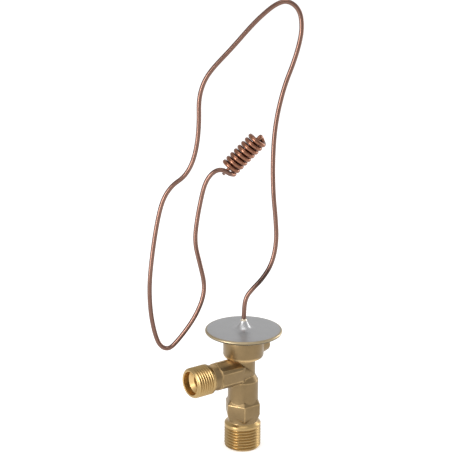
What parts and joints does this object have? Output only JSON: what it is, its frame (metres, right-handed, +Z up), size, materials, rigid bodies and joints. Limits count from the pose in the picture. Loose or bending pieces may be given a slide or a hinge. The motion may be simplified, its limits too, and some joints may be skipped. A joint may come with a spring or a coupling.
{
  "type": "thermostatic expansion valve",
  "caption": "Angle refrigerant valve: threaded brass inlet and outlet, flat round power head, bent copper capillary ending in a coiled sensing bulb.",
  "frame": {"origin": "centre of the outlet's end face, on the axis of the stem", "axes": "+Z up the stem to the power head, -X out along the inlet branch, +X to the blank equaliser boss"},
  "size_m": [0.067, 0.0545, 0.2346],
  "materials": {
    "brass": "matte forged, bright where machined",
    "stainless": "satin",
    "spring_steel": "bright drawn",
    "copper": "drawn copper, slightly tarnished",
    "braze": "bright",
    "seal": "matte"
  },
  "bodies": {
    "valve": {"valve_body": "brass", "head_base": "stainless", "head_cover": "stainless", "diaphragm": "stainless", "braze_bead": "braze", "capillary_tube": "copper", "guide_bush": "brass", "rod_seal": "seal", "seal_retainer": "stainless", "orifice_seat": "stainless", "superheat_spring": "spring_steel", "stop_ring": "spring_steel", "strainer_ring": "brass", "strainer_screen": "stainless"},
    "closure": {"diaphragm_pad": "brass", "pushrod": "stainless", "valve_ball": "stainless", "ball_cradle": "brass"},
    "spring_seat": {"spring_cup": "brass"},
    "adjuster": {"adjusting_nut": "brass"}
  },
  "joints": [
    {"name": "valve_lift", "type": "slide", "parent": "valve", "child": "closure", "axis": [0, 0, -1], "range_m": [0, 0.0006], "stiffness_N_per_m": 4000, "springref_m": -0.003, "deforming": ["superheat_spring", "diaphragm"]},
    {"name": "adjuster_travel", "type": "slide", "parent": "valve", "child": "spring_seat", "axis": [0, 0, 1], "range_m": [-0.001, 0.001]},
    {"name": "adjuster_turn", "type": "hinge", "parent": "spring_seat", "child": "adjuster", "pos_m": [0, 0, 0.00925], "axis": [0, 0, 1], "range_deg": [-360, 360]}
  ],
  "couplings": [
    {"joint": "adjuster_travel", "follows": "adjuster_turn", "m_per_rad": 0.00015915}
  ]
}
